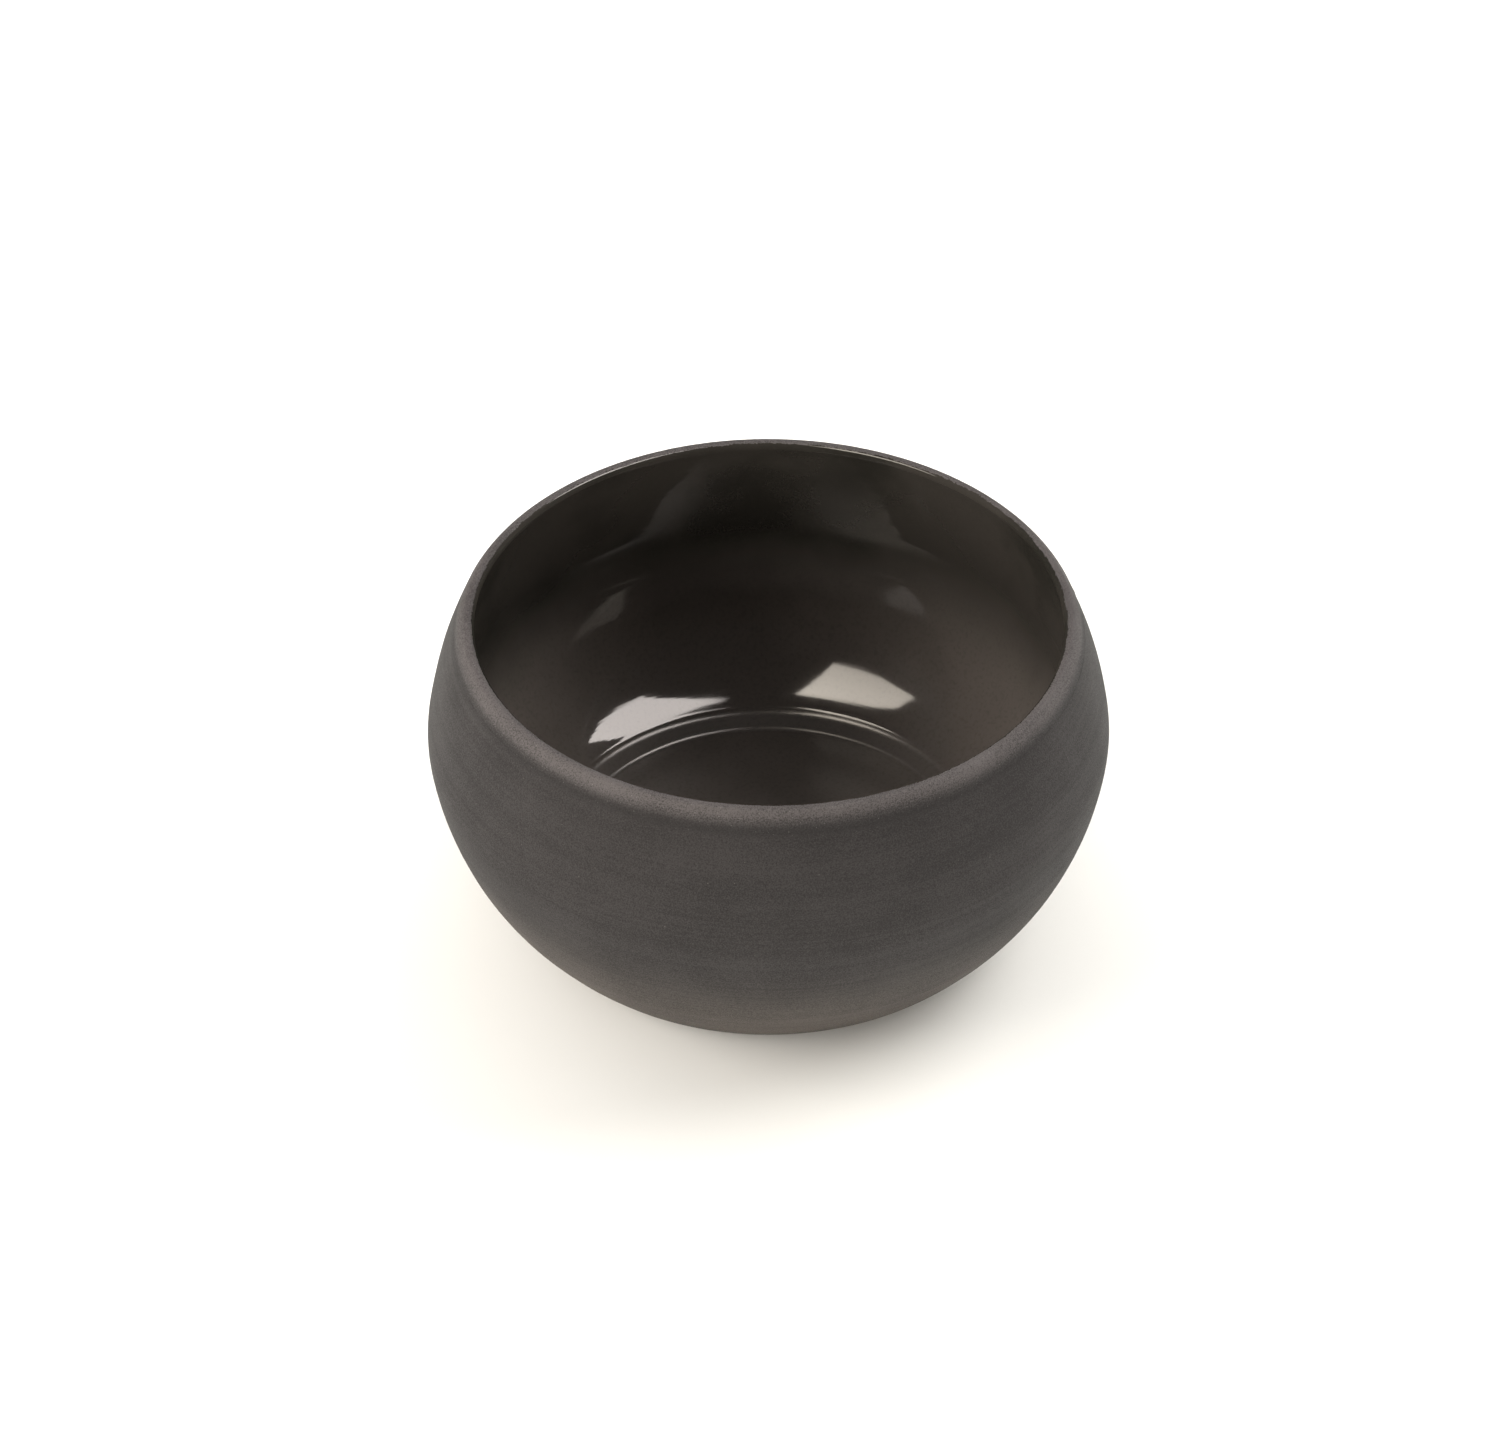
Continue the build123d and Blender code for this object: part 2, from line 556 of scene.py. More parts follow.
class PotEffects:
    """The patterns that the pot's finishes share. Scales are in repeats per metre."""

    CLOUD_SCALE = 70.0
    SPECK_RIM = (0.22, 0.10)
    SLOW_WANDER = 260.0
    QUICK_WANDER = 2600.0
    QUICK_SHARE = 1.4
    EDGE_BLUR = 0.03 * MM

    def __init__(self) -> None:
        """Builds every group once."""
        self.lines = self._turned_lines()
        self.grain = self._clay_grain()
        self.edge = self._glaze_edge()

    @staticmethod
    def _turned_lines() -> EffectGroup:
        """Lines that run round the pot, a given distance apart along its outline.

        Returns:
            The group, which gives the lines' height.
        """
        group = EffectGroup(
            "turned_lines", {"Place": Vector(), "Spacing": 1.0 * MM, "Drift": 12.0, "Seed": 0.0},
            {"Height": float},
        )
        split = group.add("ShaderNodeSeparateXYZ", {0: group.given["Place"]})
        flat = group.add("ShaderNodeCombineXYZ", {"X": split.outputs["X"], "Y": split.outputs["Y"]})
        radius = group.add("ShaderNodeVectorMath", {0: flat.outputs[0]}, operation="LENGTH")
        along = group.math("ADD", radius.outputs["Value"], split.outputs["Z"])
        count = group.math("ADD", group.math("DIVIDE", along, group.given["Spacing"]),
                           group.given["Seed"])
        spread = group.add("ShaderNodeCombineXYZ", {
            "X": group.math("MULTIPLY", split.outputs["X"], group.given["Drift"]),
            "Y": group.math("MULTIPLY", split.outputs["Y"], group.given["Drift"]),
            "Z": count,
        })
        field = group.add("ShaderNodeTexNoise", {"Vector": spread.outputs[0], "Scale": 1.0,
                                                 "Detail": 2.0, "Roughness": 0.6})
        group.give("Height", field.outputs["Fac"])
        return group

    @staticmethod
    def _clay_grain() -> EffectGroup:
        """Sandy grain, cloudy patches and a few light specks of mineral.

        Returns:
            The group, which gives the three as masks.
        """
        group = EffectGroup(
            "clay_grain", {"Place": Vector(), "Grain": 0.24 * MM, "Speck": 0.55 * MM, "Share": 0.012},
            {"Grain": float, "Cloud": float, "Specks": float},
        )
        place = group.given["Place"]
        fine = group.add("ShaderNodeTexNoise", {
            "Vector": place, "Scale": group.math("DIVIDE", 1.0, group.given["Grain"]),
            "Detail": 3.0, "Roughness": 0.65})
        cloud = group.add("ShaderNodeTexNoise", {
            "Vector": place, "Scale": PotEffects.CLOUD_SCALE, "Detail": 4.0})
        cells = group.add("ShaderNodeTexVoronoi", {
            "Vector": place, "Scale": group.math("DIVIDE", 1.0, group.given["Speck"])})
        chosen = group.add("ShaderNodeSeparateColor", {0: cells.outputs["Color"]})
        kept = group.math("LESS_THAN", chosen.outputs["Red"], group.given["Share"])
        dot = group.ramp(cells.outputs["Distance"], *PotEffects.SPECK_RIM)
        group.give("Grain", fine.outputs["Fac"])
        group.give("Cloud", cloud.outputs["Fac"])
        group.give("Specks", group.math("MULTIPLY", kept, dot))
        return group

    @staticmethod
    def _glaze_edge() -> EffectGroup:
        """Ragged edge where the glaze stops on the inside of the lip.

        Returns:
            The group, which gives a mask: 1 glazed, 0 bare.
        """
        group = EffectGroup(
            "glaze_edge", {"Place": Vector(), "Height": 1.0, "Reach": 1.0, "Raggedness": 0.3 * MM},
            {"Glazed": float},
        )
        place = group.given["Place"]
        split = group.add("ShaderNodeSeparateXYZ", {0: place})
        flat = group.add("ShaderNodeCombineXYZ", {"X": split.outputs["X"], "Y": split.outputs["Y"]})
        radius = group.add("ShaderNodeVectorMath", {0: flat.outputs[0]}, operation="LENGTH")
        slow = group.add("ShaderNodeTexNoise", {
            "Vector": place, "Scale": PotEffects.SLOW_WANDER, "Detail": 2.0})
        quick = group.add("ShaderNodeTexNoise", {
            "Vector": place, "Scale": PotEffects.QUICK_WANDER, "Detail": 2.0})
        wander = group.weighted((group.math("SUBTRACT", slow.outputs["Fac"], 0.5), 1.0),
                                (group.math("SUBTRACT", quick.outputs["Fac"], 0.5), PotEffects.QUICK_SHARE))
        edge = group.math("ADD", group.given["Height"],
                          group.math("MULTIPLY", wander, group.given["Raggedness"]))
        below = group.ramp(group.math("SUBTRACT", edge, split.outputs["Z"]),
                           -PotEffects.EDGE_BLUR, PotEffects.EDGE_BLUR)
        inner = group.math("LESS_THAN", radius.outputs["Value"], group.given["Reach"])
        group.give("Glazed", group.math("MULTIPLY", below, inner))
        return group


Colour = tuple[float, float, float, float]


@dataclass(frozen=True)
class ClayFinish:
    """Bare, matt, black-brown fired clay, with painted light and shade in parts of its colour.

    Attributes:
        dark: colour of the clay's body.
        light: colour of the high spots.
        bounce_colour: lighter, warmer colour towards the foot, painted light bounced up from the floor.
        lip_light: lighter colour over the bare lip, painted top light on its crest.
        speck: colour of the mineral specks.
        glint: colour of painted glints on the grains that stand out of the lip.
        roughness: how matt it is at its smoothest and its roughest.
        relief: depth of the fine relief, in metres.
        lines: distance between the fine turning lines.
        bands: distance between the broad ones.
        tone: how much grain, fine lines, broad lines and clouds count in the colour.
        spread: tones between which the colour goes from dark to light.
        sand: size of the grains that carry the painted glints, and the share of places that hold one.
        bounce_cover: how much the painted bounce covers at most, and how much of that is even.
        lip_light_cover: how much of the painted lip light is even.
        shade_cover: how dark the painted shade under the lip is.
        speck_cover: how much the mineral specks and the painted glints cover.
        rise: how much grain and fine lines count in the relief.
        painted_bounce: heights between which the painted bounce fades in.
        painted_lip_light: heights between which the painted lip light fades in.
        sandy: heights between which the painted glints start to show.
        shadowed: middle and half width of the band of painted shade under the lip.
    """

    dark: Colour = (0.0115, 0.0098, 0.0096, 1.0)
    light: Colour = (0.0250, 0.0214, 0.0208, 1.0)
    bounce_colour: Colour = (0.0830, 0.0705, 0.0600, 1.0)
    lip_light: Colour = (0.0760, 0.0665, 0.0640, 1.0)
    speck: Colour = (0.10, 0.09, 0.08, 1.0)
    glint: Colour = (0.30, 0.28, 0.26, 1.0)
    roughness: tuple[float, float] = (0.62, 0.78)
    relief: float = 0.05 * MM
    lines: float = 0.55 * MM
    bands: float = 3.4 * MM
    tone: tuple[float, float, float, float] = (0.90, 0.16, 0.12, 0.22)
    spread: tuple[float, float] = (0.54, 0.86)
    sand: tuple[float, float] = (0.26 * MM, 0.07)
    bounce_cover: tuple[float, float] = (0.75, 0.50)
    lip_light_cover: float = 0.25
    shade_cover: float = 0.55
    speck_cover: tuple[float, float] = (0.7, 0.8)
    rise: tuple[float, float] = (0.75, 0.25)
    painted_bounce: tuple[float, float] = (31.0 * MM, 4.0 * MM)
    painted_lip_light: tuple[float, float] = (56.4 * MM, 58.8 * MM)
    sandy: tuple[float, float] = (53.0 * MM, 58.5 * MM)
    shadowed: tuple[float, float] = (55.8 * MM, 1.3 * MM)

    def surface(self, graph: NodeGraph, effects: PotEffects,
                place: bpy.types.NodeSocket) -> dict[str, bpy.types.NodeSocket]:
        """Colour, roughness and height of the clay.

        Args:
            graph: the material's tree.
            effects: the shared patterns.
            place: object coordinates.

        Returns:
            The three sockets by name.
        """
        level = graph.add("ShaderNodeSeparateXYZ", {0: place}).outputs["Z"]
        lines = effects.lines.place(graph, {"Place": place, "Spacing": self.lines}).outputs[0]
        broad = effects.lines.place(
            graph, {"Place": place, "Spacing": self.bands, "Drift": 5.0, "Seed": 31.0}).outputs[0]
        grain = effects.grain.place(graph, {"Place": place}).outputs
        sand = effects.grain.place(
            graph, {"Place": place, "Speck": self.sand[0], "Share": self.sand[1]}).outputs
        tone = graph.weighted(*zip((grain["Grain"], lines, broad, grain["Cloud"]), self.tone))
        share = graph.ramp(tone, *self.spread)
        colour = graph.blend(share, self.dark, self.light)
        # Lighter, warmer towards the foot: painted light bounced up from the floor.
        cover, even = self.bounce_cover
        painted_bounce = graph.math("MULTIPLY", graph.ramp(level, *self.painted_bounce), graph.math("ADD", even, share))
        colour = graph.blend(graph.math("MULTIPLY", painted_bounce, cover), colour, self.bounce_colour)
        # Lighter over the lip's round: painted top light on the crest.
        painted_lip_light = graph.math("MULTIPLY", graph.ramp(level, *self.painted_lip_light),
                            graph.math("ADD", self.lip_light_cover, share))
        colour = graph.blend(painted_lip_light, colour, self.lip_light)
        # Darker band just under the lip: painted shade of the lip's roll.
        off = graph.math("ABSOLUTE", graph.math("SUBTRACT", level, self.shadowed[0]))
        shaded = graph.math("MULTIPLY", graph.ramp(off, self.shadowed[1], 0.0), self.shade_cover)
        colour = graph.blend(shaded, colour, self.dark)
        specks = graph.math("MULTIPLY", grain["Specks"], self.speck_cover[0])
        colour = graph.blend(specks, colour, self.speck)
        # Bright dots high on the lip: painted glints of light on its grains.
        sparkle = graph.math("MULTIPLY", graph.ramp(level, *self.sandy), sand["Specks"])
        colour = graph.blend(graph.math("MULTIPLY", sparkle, self.speck_cover[1]), colour, self.glint)
        height = graph.weighted(*zip((grain["Grain"], lines), self.rise))
        return {"colour": colour, "roughness": graph.between(share, *reversed(self.roughness)),
                "height": height}


@dataclass(frozen=True)
class GlazeFinish:
    """Glossy glaze, nearly black: browner in cloudy patches and low in the well, darker towards the lip; the
    change with height is painted reflected light and shade.

    Attributes:
        brown: colour low in the well and in cloudy patches; low down it is painted reflected light.
        green: darker colour towards the lip and in cloudy patches; towards the lip it is painted shade.
        bloom: colour of the fine bloom in it.
        roughness: roughness where it is clearest and where it is cloudy.
        pooled: roughness where the glaze has run together round the floor's step.
        pool: heights between which it starts to run together.
        painted_light_heights: heights between which the painted reflected light low in the well gives way to
            painted shade, from the floor to the lip.
        thickness: how much its clouds and its height count in the mix of brown and green; the height's share
            is painted light and shade.
        clouds: repeats per metre of its clouds, and the noise between which they form.
        grain: the same for the bloom.
        bloom_cover: how much the bloom covers.
        lines: distance between the turning lines that show under it.
        rise: how much they count in the relief.
        relief: depth of the relief, in metres.
    """

    brown: Colour = (0.130, 0.110, 0.096, 1.0)
    green: Colour = (0.016, 0.0148, 0.0118, 1.0)
    bloom: Colour = (0.040, 0.035, 0.030, 1.0)
    roughness: tuple[float, float] = (0.035, 0.10)
    pooled: float = 0.24
    pool: tuple[float, float] = (6.3 * MM, 5.4 * MM)
    painted_light_heights: tuple[float, float] = (14.0 * MM, 38.0 * MM)
    thickness: tuple[float, float] = (0.15, 0.85)
    clouds: tuple[float, float, float] = (38.0, 0.38, 0.62)
    grain: tuple[float, float, float] = (1500.0, 0.45, 0.75)
    bloom_cover: float = 0.20
    lines: float = 2.2 * MM
    rise: float = 0.5
    relief: float = 0.02 * MM

    def surface(self, graph: NodeGraph, effects: PotEffects,
                place: bpy.types.NodeSocket) -> dict[str, bpy.types.NodeSocket]:
        """Colour, roughness and height of the glaze.

        Args:
            graph: the material's tree.
            effects: the shared patterns.
            place: object coordinates.

        Returns:
            The three sockets by name.
        """
        pool = graph.add("ShaderNodeTexNoise", {"Vector": place, "Scale": self.clouds[0], "Detail": 3.0})
        fine = graph.add("ShaderNodeTexNoise", {"Vector": place, "Scale": self.grain[0], "Detail": 3.0})
        level = graph.add("ShaderNodeSeparateXYZ", {0: place}).outputs["Z"]
        cloudy = graph.ramp(pool.outputs["Fac"], *self.clouds[1:])
        # Height ramp: the lighter brown low in the well is painted reflected light and the darker top is
        # painted shade; the clouds are the glaze's own.
        share = graph.weighted(*zip((cloudy, graph.ramp(level, *self.painted_light_heights)), self.thickness))
        colour = graph.blend(share, self.brown, self.green)
        bloom = graph.math("MULTIPLY", graph.ramp(fine.outputs["Fac"], *self.grain[1:]), self.bloom_cover)
        colour = graph.blend(bloom, colour, self.bloom)
        lines = effects.lines.place(
            graph, {"Place": place, "Spacing": self.lines, "Drift": 9.0, "Seed": 57.0}).outputs[0]
        roughness = graph.between(graph.ramp(level, *self.pool), graph.between(cloudy, *self.roughness),
                                  self.pooled)
        return {"colour": colour, "roughness": roughness, "height": graph.math("MULTIPLY", lines, self.rise)}


class Paintbox:
    """Makes the pot's materials from its finishes.

    CREEP is how far the glaze has crept up the lip's round, past the edge of its own coat.
    """

    CREEP = 0.55 * MM

    def __init__(self, form: PotForm) -> None:
        """Prepares the shared patterns.

        Args:
            form: the pot's form, which says where the glaze stops.
        """
        self.form = form
        self.effects = PotEffects()
        self.clay = ClayFinish()
        self.glaze = GlazeFinish()

    def _start(self, name: str) -> tuple[bpy.types.Material, NodeGraph, bpy.types.NodeSocket]:
        """Starts a material.

        Args:
            name: the material's name.

        Returns:
            The empty material, its tree and its object coordinates.
        """
        material = bpy.data.materials.new(name)
        material.use_nodes = True
        material.node_tree.nodes.clear()
        graph = NodeGraph(material.node_tree)
        return material, graph, graph.add("ShaderNodeTexCoord").outputs["Object"]

    @staticmethod
    def _close(graph: NodeGraph, surface: dict[str, bpy.types.NodeSocket], relief: float) -> None:
        """Adds the shader that a surface feeds.

        Args:
            graph: the material's tree.
            surface: colour, roughness and height.
            relief: depth of the relief, in metres.
        """
        bump = graph.add("ShaderNodeBump", {
            "Height": surface["height"], "Distance": relief, "Strength": 1.0})
        shader = graph.add("ShaderNodeBsdfPrincipled", {
            "Base Color": surface["colour"], "Roughness": surface["roughness"],
            "Normal": bump.outputs["Normal"],
        })
        graph.add("ShaderNodeOutputMaterial", {"Surface": shader.outputs["BSDF"]})

    def bare_clay(self) -> bpy.types.Material:
        """Matt clay for the foot and the wall.

        Returns:
            The material.
        """
        material, graph, place = self._start("matt_clay")
        self._close(graph, self.clay.surface(graph, self.effects, place), self.clay.relief)
        return material

    def edge_mix(self, name: str, relief: float, reach: float) -> bpy.types.Material:
        """Clay above and glaze below the ragged line inside the lip.

        Args:
            name: the material's name.
            relief: depth of the relief, in metres.
            reach: radius within which there may be glaze.

        Returns:
            The material.
        """
        material, graph, place = self._start(name)
        clay = self.clay.surface(graph, self.effects, place)
        glaze = self.glaze.surface(graph, self.effects, place)
        glazed = self.effects.edge.place(graph, {
            "Place": place, "Height": self.form.glaze_edge.z + self.CREEP, "Reach": reach,
        }).outputs["Glazed"]
        self._close(graph, {
            "colour": graph.blend(glazed, clay["colour"], glaze["colour"]),
            "roughness": graph.between(glazed, clay["roughness"], glaze["roughness"]),
            "height": graph.between(glazed, clay["height"], glaze["height"]),
        }, relief)
        return material


# ---- The pot's pieces ------------------------------------------------------------------
@dataclass(frozen=True)
class BaseSlab:
    """The disc that the pot stands on: foot ring, shallow hollow and stepped floor.

    Attributes:
        ring_width: width of the flat ring that touches the table.
        hollow_depth: depth of the hollow inside the ring.
        bevel: width of the hollow's sloping side.
        step: longest stretch between two vertices.
        hidden_step: the same on the side under the glaze.
    """

    form: PotForm
    hands: HandWork
    ring_width: float = 5.2 * MM
    hollow_depth: float = 0.6 * MM
    bevel: float = 0.6 * MM
    step: float = 0.5 * MM
    hidden_step: float = 4.0 * MM

    def build(self, material: bpy.types.Material) -> bpy.types.Object:
        """Builds the slab.

        Args:
            material: its finish.

        Returns:
            The piece.
        """
        form = self.form
        top = form.floor_edge.z - form.glaze
        rim = form.foot.x - self.ring_width
        outline = Outline(Vector((0.0, 0.0, self.hollow_depth)), 0.0)
        outline.wear(Skin.CLAY).line(Vector((rim - self.bevel, 0.0, self.hollow_depth)), self.step)
        outline.line(Vector((rim, 0.0, 0.0)), self.bevel / 3.0)
        outline.wear(Skin.HIDDEN).line(form.foot, self.step)
        outline.line(form.slab_corner)
        outline.line(Vector((form.floor_edge.x, 0.0, top)))
        outline.line(Vector((0.0, 0.0, top)), self.hidden_step)
        bm = outline.spun()
        self.hands.lay_on(outline)
        return finished_piece("foot_slab", bm, material, "base_slab")


@dataclass(frozen=True)
class ClayWall:
    """The round-bellied wall, with its turning lines.

    Attributes:
        step: longest stretch between two vertices on the outside.
        inner_step: the same on the hidden side.
    """

    form: PotForm
    hands: HandWork
    step: float = 0.25 * MM
    inner_step: float = 3.0 * MM

    def build(self, material: bpy.types.Material) -> bpy.types.Object:
        """Builds the wall.

        Args:
            material: its finish.

        Returns:
            The piece.
        """
        form = self.form
        crest, flare, back, sweep = form.backing[:4]
        root = end_of(form.backing_start, form.glaze_heading, (crest, Bend(flare.radius, form.lip_root)))
        outline = Outline(form.foot, 0.0, along=form.foot.x)
        outline.wear(Skin.CLAY).chain(form.outside, self.step)
        outline.skin = Skin.HIDDEN
        outline.line(root)
        outline.heading = form.lip_root
        outline.chain((flare, back, Bend(sweep.radius, form.wall_root)), self.inner_step)
        outline.line(form.slab_corner)
        outline.line(form.foot)
        bm = outline.spun()
        self.hands.lay_on(outline)
        return finished_piece("belly_wall", bm, material, "clay_wall")


@dataclass(frozen=True)
class LipRoll:
    """The rolled lip, down to where it goes in behind the glaze.

    Attributes:
        along: length of outline below the seam.
        step: longest stretch between two vertices.
        hidden_step: the same behind the glaze.
    """

    form: PotForm
    hands: HandWork
    along: float
    step: float = 0.12 * MM
    hidden_step: float = 0.5 * MM

    def build(self, material: bpy.types.Material) -> bpy.types.Object:
        """Builds the lip.

        Args:
            material: its finish.

        Returns:
            The piece.
        """
        form = self.form
        outline = Outline(form.seam, form.seam_heading, along=self.along)
        outline.wear(Skin.CLAY).chain(form.lip, self.step)
        crest, flare = form.backing[:2]
        outline.skin = Skin.HIDDEN
        outline.line(form.backing_start)
        outline.heading = form.glaze_heading
        outline.chain((crest, Bend(flare.radius, form.lip_root)), self.hidden_step)
        outline.line(form.seam)
        bm = outline.spun()
        self.hands.lay_on(outline)
        return finished_piece("rolled_lip", bm, material, "lip_roll")


@dataclass(frozen=True)
class InnerGlaze:
    """The coat of glaze over the whole inside.

    Attributes:
        step: longest stretch between two vertices on the shining side.
        edge_step: the same round the top edge.
        fine_step: the same over the floor's step.
        floor_step: the same on the flat floor.
        back_step: the same on the side against the clay.
        under_step: the same under the floor.
        fullness: share of the coat's thickness that its mesh has, so that it clears the clay.
    """

    form: PotForm
    hands: HandWork
    step: float = 0.35 * MM
    edge_step: float = 0.08 * MM
    fine_step: float = 0.15 * MM
    floor_step: float = 1.0 * MM
    back_step: float = 2.0 * MM
    under_step: float = 4.0 * MM
    fullness: float = 0.9

    def build(self, material: bpy.types.Material) -> bpy.types.Object:
        """Builds the coat.

        Args:
            material: its finish.

        Returns:
            The piece.
        """
        form = self.form
        outline = Outline(form.glaze_edge, form.glaze_heading)
        outline.wear(Skin.GLAZE)
        outline.bend(form.inside[0], self.edge_step)
        outline.chain(form.inside[1:4], self.step)
        outline.chain(form.inside[4:], self.fine_step)
        outline.line(Vector((0.0, 0.0, form.floor_edge.z)), self.floor_step)
        outline.skin = Skin.HIDDEN
        back = form.glaze * self.fullness
        outline.line(Vector((0.0, 0.0, form.floor_edge.z - back)))
        outline.line(Vector((form.floor_edge.x, 0.0, form.floor_edge.z - back)), self.under_step)
        heading = 0.0
        for arc, start in reversed(list(zip(form.inside, self._headings()))):
            outline.heading = heading
            outline.bend(Bend(-(arc.radius - back), start - 180.0), self.back_step)
            heading = start - 180.0
        outline.line(form.glaze_edge)
        bm = outline.spun()
        self.hands.lay_on(outline)
        return finished_piece("glaze_lining", bm, material, "inner_glaze")

    def _headings(self) -> list[float]:
        """Heading at the start of each arc of the inside."""
        return [self.form.glaze_heading] + [bend.end for bend in self.form.inside[:-1]]


# ---- Studio ----------------------------------------------------------------------------
class Seen(Enum):
    """What a studio light works on: mirrored in gloss, or filling matt surfaces and shadows."""

    IN_GLOSS = "gloss"
    AS_FILL = "fill"


@dataclass(frozen=True)
class SoftBox:
    """A flat studio light that faces the pot, with the outline that its flags leave open.

    Attributes:
        name: the light's name.
        azimuth: degrees round from the camera's side (-Y) towards +X.
        elevation: degrees above the table.
        distance: metres from the pot.
        corners: outline, in metres across and up from the middle.
        radiance: brightness of its lowest and highest parts.
        colour: its colour.
        seen: what the light works on.
    """

    name: str
    azimuth: float
    elevation: float
    distance: float
    corners: tuple[tuple[float, float], ...]
    radiance: tuple[float, float]
    colour: Colour = (1.0, 1.0, 1.0, 1.0)
    seen: Seen = Seen.AS_FILL

    def place(self, target: Vector) -> bpy.types.Object:
        """Adds the light.

        Args:
            target: the point that it faces.

        Returns:
            The light's object.
        """
        bm = bmesh.new()
        bmesh.ops.create_circle(bm, cap_ends=True, segments=len(self.corners), radius=1.0)
        around = sorted(bm.verts, key=lambda v: math.atan2(v.co.y, v.co.x))
        for vert, (across, up) in zip(around, self.corners):
            vert.co = (across, up, 0.0)
        mesh = bpy.data.meshes.new(self.name)
        bm.to_mesh(mesh)
        bm.free()
        mesh.materials.append(self._glow())
        turn, rise = math.radians(self.azimuth), math.radians(self.elevation)
        back = Vector((math.sin(turn) * math.cos(rise), -math.cos(turn) * math.cos(rise), math.sin(rise)))
        light = bpy.data.objects.new(self.name, mesh)
        light.matrix_world = (Matrix.Translation(target + self.distance * back)
                              @ back.to_track_quat("Z", "Y").to_matrix().to_4x4())
        light.visible_camera = False
        light.visible_glossy = self.seen is Seen.IN_GLOSS
        light.visible_diffuse = self.seen is Seen.AS_FILL
        bpy.context.scene.collection.objects.link(light)
        return light

    def _glow(self) -> bpy.types.Material:
        """Even light across the box, from one brightness at its foot to another at its top.

        Returns:
            The material.
        """
        material = bpy.data.materials.new(self.name)
        material.use_nodes = True
        material.node_tree.nodes.clear()
        graph = NodeGraph(material.node_tree)
        heights = [up for _, up in self.corners]
        place = graph.add("ShaderNodeSeparateXYZ", {0: graph.add("ShaderNodeTexCoord").outputs["Object"]})
        strength = graph.add("ShaderNodeMapRange", {
            "Value": place.outputs["Y"], "From Min": min(heights), "From Max": max(heights),
            "To Min": self.radiance[0], "To Max": self.radiance[1],
        })
        glow = graph.add("ShaderNodeEmission", {"Color": self.colour, "Strength": strength.outputs["Result"]})
        graph.add("ShaderNodeOutputMaterial", {"Surface": glow.outputs[0]})
        return material


def rectangle(width: float, height: float) -> tuple[tuple[float, float], ...]:
    """Corners of a rectangle about its middle, anticlockwise from the lower left."""
    half_width, half_height = width / 2.0, height / 2.0
    return ((-half_width, -half_height), (half_width, -half_height),
            (half_width, half_height), (-half_width, half_height))


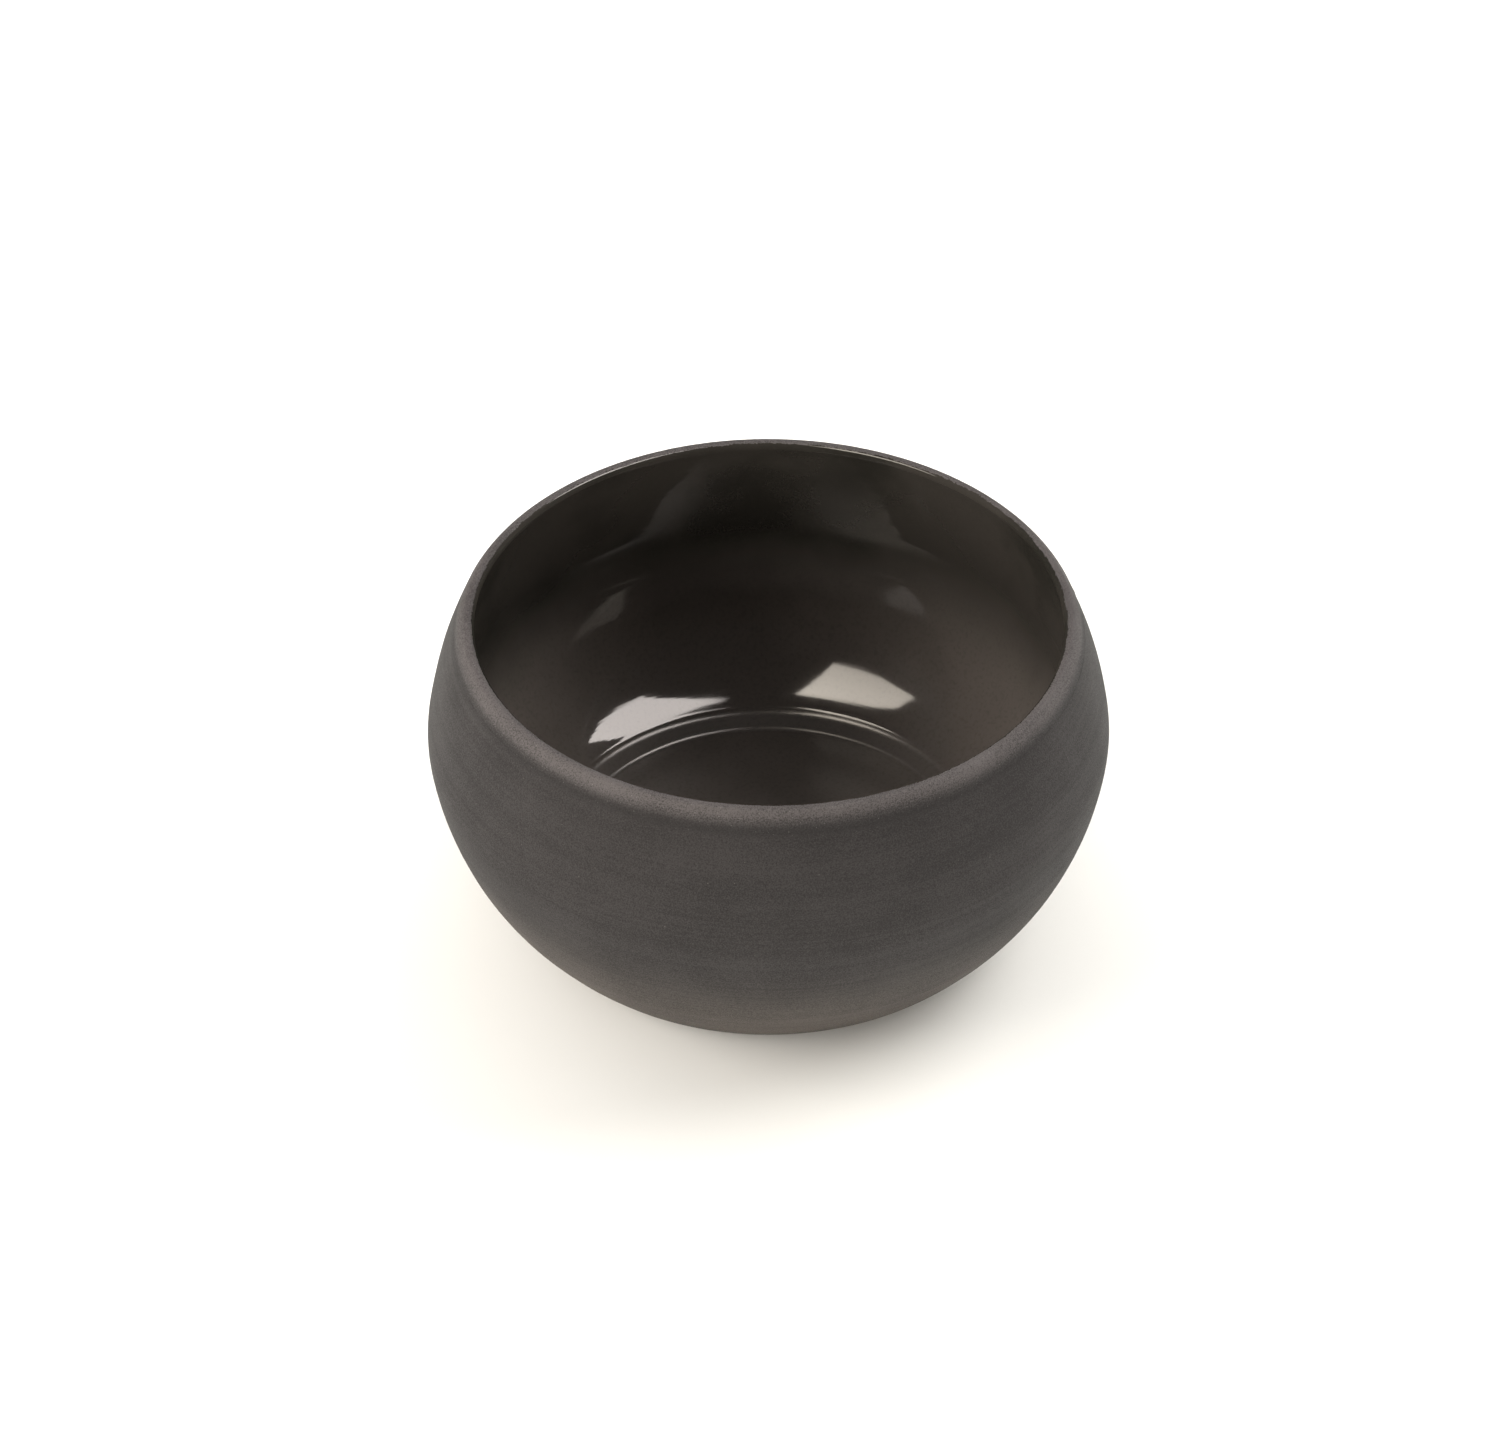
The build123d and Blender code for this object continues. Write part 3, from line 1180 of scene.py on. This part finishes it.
@dataclass(frozen=True)
class Studio:
    """A plain pale floor, soft lights and the camera.

    Attributes:
        camera_place: where the camera stands.
        camera_target: what it looks at.
        lens: focal length for a 36 mm sensor.
        floor_radius: radius of the floor, which ends where the lights stop reaching it.
        room_light: strength of the light from all round.
        room_gloss: strength of the room as the gloss mirrors it.
        backdrop: brightness of the backdrop.
        lit_place: the point that the lights face.
        floor_colour: colour of the floor.
    """

    camera_place: Vector = Vector((-1.3, -526.1, 461.8)) * MM
    camera_target: Vector = Vector((-3.2, 0.0, 34.0)) * MM
    lens: float = 91.9
    floor_radius: float = 0.95
    room_light: float = 0.19
    room_gloss: float = 0.02
    backdrop: float = 1.15
    lit_place: Vector = Vector((0.0, 0.0, 30.0)) * MM
    floor_colour: Colour = (0.86, 0.845, 0.80, 1.0)

    def camera(self) -> bpy.types.Object:
        """Adds the camera, level and without shift.

        Returns:
            The camera's object.
        """
        data = bpy.data.cameras.new("studio_camera")
        data.lens = self.lens
        data.sensor_width = 36.0
        data.clip_start = 0.01
        data.clip_end = 20.0
        camera = bpy.data.objects.new("studio_camera", data)
        camera.location = self.camera_place
        look = self.camera_target - self.camera_place
        camera.rotation_euler = look.to_track_quat("-Z", "Y").to_euler()
        bpy.context.scene.collection.objects.link(camera)
        bpy.context.scene.camera = camera
        return camera

    def floor(self) -> bpy.types.Object:
        """Adds the pale floor that the pot stands on.

        Returns:
            The floor's object.
        """
        bm = bmesh.new()
        bmesh.ops.create_circle(bm, cap_ends=True, segments=96, radius=self.floor_radius)
        mesh = bpy.data.meshes.new("studio_floor")
        bm.to_mesh(mesh)
        bm.free()
        material = bpy.data.materials.new("pale_floor")
        material.use_nodes = True
        shader = material.node_tree.nodes["Principled BSDF"]
        shader.inputs["Base Color"].default_value = self.floor_colour
        shader.inputs["Roughness"].default_value = 0.9
        shader.inputs["Specular IOR Level"].default_value = 0.1
        mesh.materials.append(material)
        floor = bpy.data.objects.new("studio_floor", mesh)
        bpy.context.scene.collection.objects.link(floor)
        return floor

    def room(self) -> None:
        """Fills the room with a dim light and shows a white backdrop to the camera."""
        world = bpy.data.worlds.new("studio_room")
        world.use_nodes = True
        world.node_tree.nodes.clear()
        graph = NodeGraph(world.node_tree)
        path = graph.add("ShaderNodeLightPath")
        lit = graph.between(path.outputs["Is Glossy Ray"], self.room_light, self.room_gloss)
        strength = graph.between(path.outputs["Is Camera Ray"], lit, self.backdrop)
        world_light = graph.add("ShaderNodeBackground", {"Color": (1.0, 1.0, 1.0, 1.0), "Strength": strength})
        graph.add("ShaderNodeOutputWorld", {"Surface": world_light.outputs[0]})
        bpy.context.scene.world = world

    def lights(self) -> None:
        """Adds two flagged cards that the gloss mirrors, and the soft boxes that fill."""
        right_shape = (
            (0.02, -0.13), (0.20, -0.185), (0.40, -0.19), (0.57, -0.13), (0.33, 0.09), (-0.30, 0.365),
        )
        left_shape = (
            (-0.39, -0.19), (-0.09, -0.215), (0.06, -0.195), (0.24, -0.145),
            (0.25, 0.305), (-0.17, 0.095), (-0.32, -0.01),
        )
        cool = (1.0, 0.925, 0.88, 1.0)
        warm = (1.0, 0.91, 0.79, 1.0)
        pale = (1.0, 0.965, 0.925, 1.0)
        boxes = (
            SoftBox("right_card", 64.0, 50.0, 1.1, right_shape, (12.0, 12.0), cool, Seen.IN_GLOSS),
            SoftBox("left_card", -47.0, 50.0, 1.1, left_shape, (7.8, 13.4), warm, Seen.IN_GLOSS),
            SoftBox("left_rim", -120.0, 38.0, 1.3, rectangle(1.1, 0.7), (3.4, 3.4)),
            SoftBox("right_rim", 120.0, 38.0, 1.3, rectangle(1.1, 0.7), (9.4, 9.4)),
            SoftBox("back_box", 180.0, 42.0, 1.3, rectangle(1.2, 0.6), (3.1, 3.1)),
            SoftBox("top_box", 180.0, 76.0, 1.3, rectangle(1.2, 1.0), (0.8, 0.8)),
            SoftBox("left_side", -85.0, 24.0, 1.3, rectangle(1.3, 0.8), (8.8, 8.8), pale),
            SoftBox("front_box", 0.0, 12.0, 1.3, rectangle(2.0, 0.35), (7.0, 7.0), pale),
        )
        for box in boxes:
            box.place(self.lit_place)

    def build(self) -> None:
        """Sets up the whole studio."""
        self.camera()
        self.floor()
        self.room()
        self.lights()
        bpy.context.scene.view_settings.view_transform = "Standard"


def corners(box: tuple[Vector, Vector]) -> list[list[float]]:
    """A box's two corners as plain lists."""
    return [list(corner) for corner in box]


def main() -> None:
    """Builds the studio, then builds and dresses the pot."""
    logging.basicConfig(level=logging.INFO, format="%(name)s: %(message)s")
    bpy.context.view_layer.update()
    Studio().build()
    form = PotForm.from_frame()
    hands = HandWork(height=form.crest.z)
    paints = Paintbox(form)
    clay = paints.bare_clay()
    BaseSlab(form, hands).build(clay)
    ClayWall(form, hands).build(clay)
    outside_length = form.foot.x + form.outside_length
    lip_clay = paints.edge_mix("lip_clay", paints.clay.relief, reach=form.crest.x)
    LipRoll(form, hands, along=outside_length).build(lip_clay)
    InnerGlaze(form, hands).build(paints.edge_mix("black_glaze", paints.glaze.relief, reach=form.belly.x))


if __name__ == "__main__":
    main()
